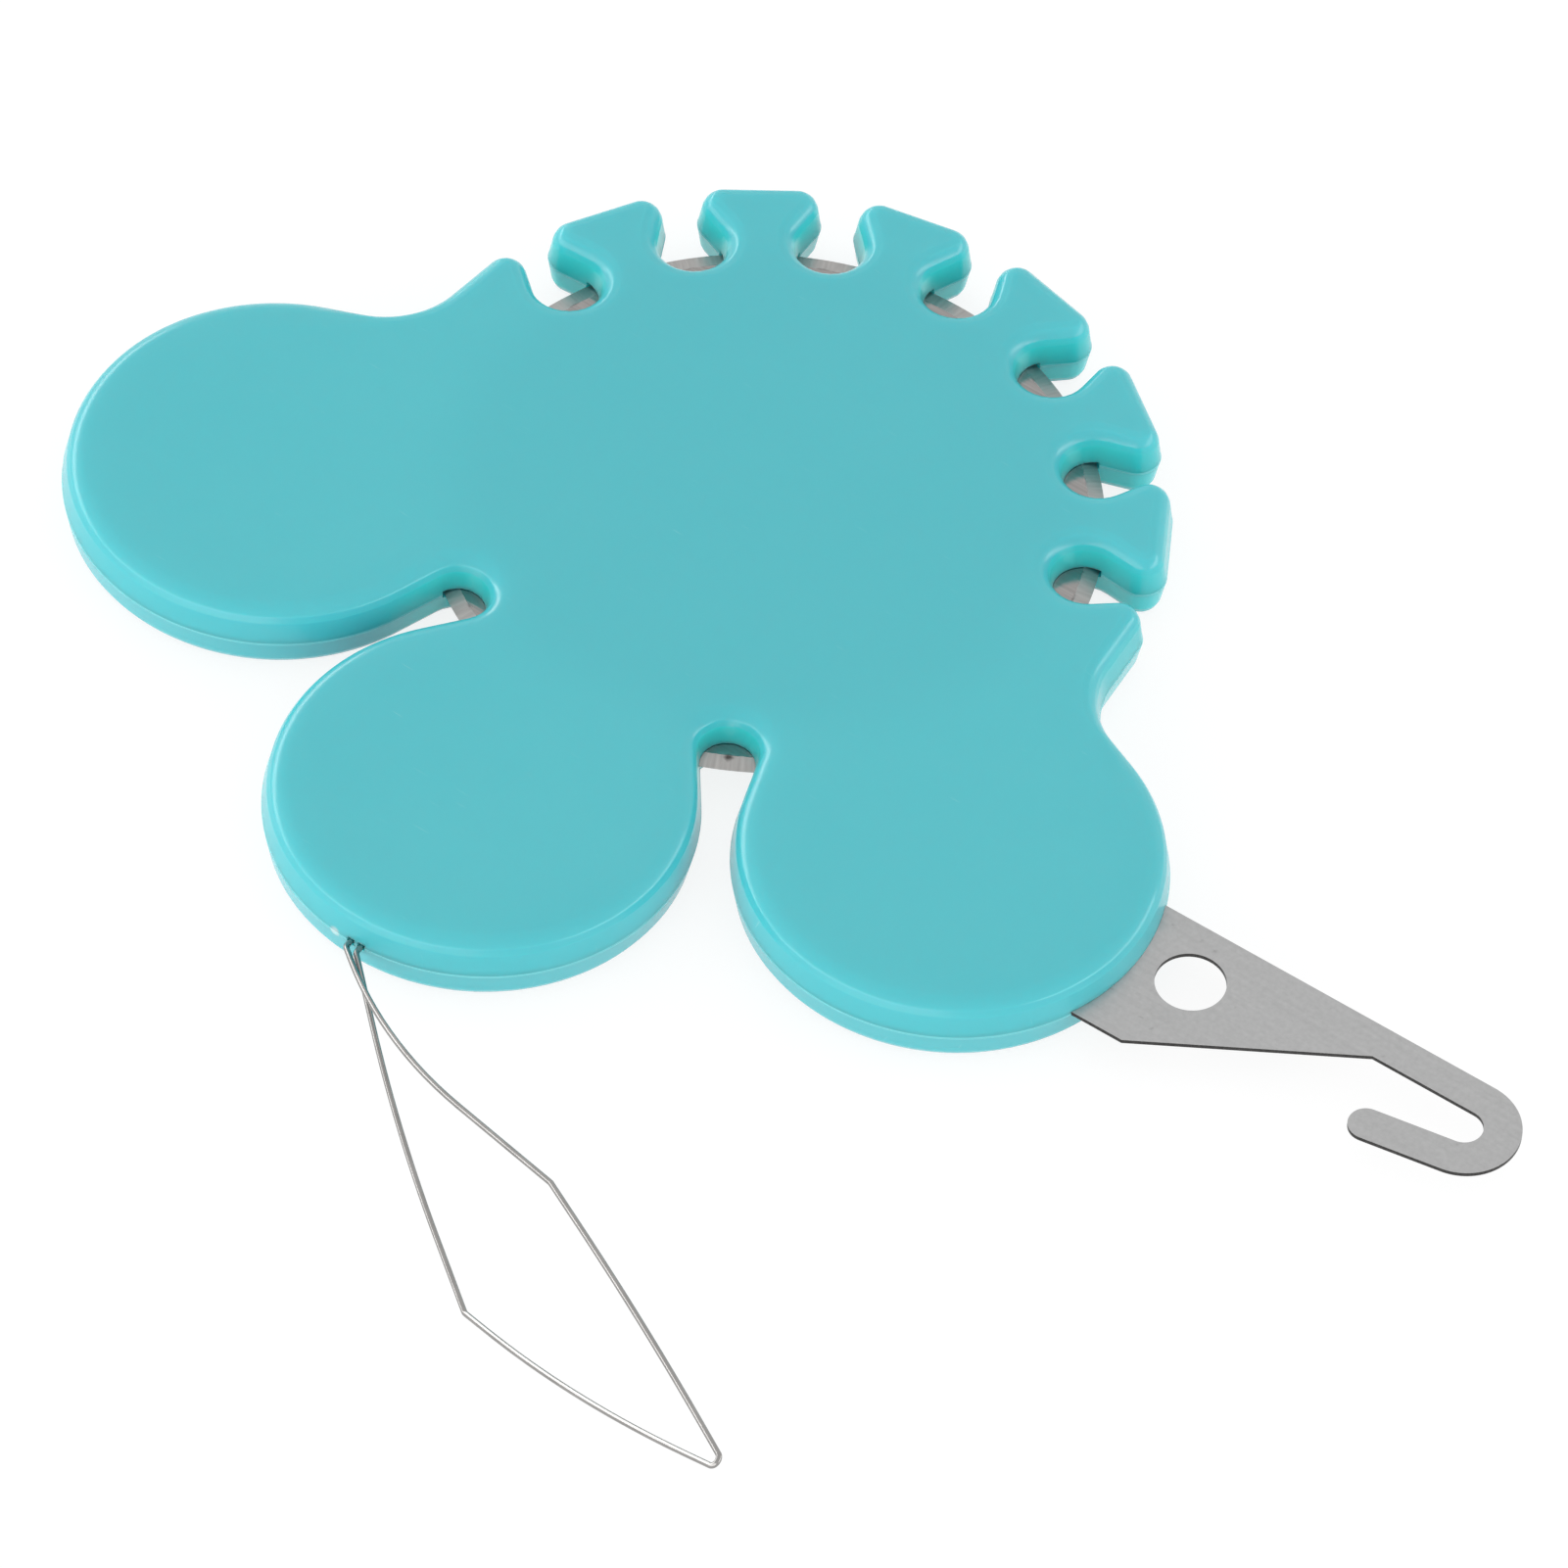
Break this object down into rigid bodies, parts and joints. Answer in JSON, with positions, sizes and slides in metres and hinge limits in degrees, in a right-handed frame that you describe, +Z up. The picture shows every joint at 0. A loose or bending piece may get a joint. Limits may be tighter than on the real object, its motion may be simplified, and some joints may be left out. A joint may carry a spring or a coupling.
{
  "type": "seam ripper",
  "caption": "Flat moulded body of three round lobes with a crown of undercut teeth round an enclosed turning blade, a sheet metal hook and a spring wire needle threader.",
  "frame": {"origin": "on the blade's axis, in the plane that the tool rests on", "axes": "+Z up from the resting face, +Y through the middle notch of the crown, +X from the body towards the hook"},
  "size_m": [0.0685, 0.062, 0.0088],
  "materials": {
    "shell_plastic": "satin moulded turquoise plastic",
    "blade_steel": "brushed face with a ground bevel",
    "sheet_steel": "satin face with dark stamped edges",
    "wire_steel": "bright drawn wire"
  },
  "bodies": {
    "case": {"upper_shell": "shell_plastic", "lower_shell": "shell_plastic", "hook_threader": "sheet_steel", "wire_loop": "wire_steel"},
    "blade": {"cutter_blade": "blade_steel"}
  },
  "joints": [
    {"name": "blade_spin", "type": "hinge", "parent": "case", "child": "blade", "pos_m": [0, 0, 0.0017], "axis": [0, 0, 1], "continuous": true}
  ]
}
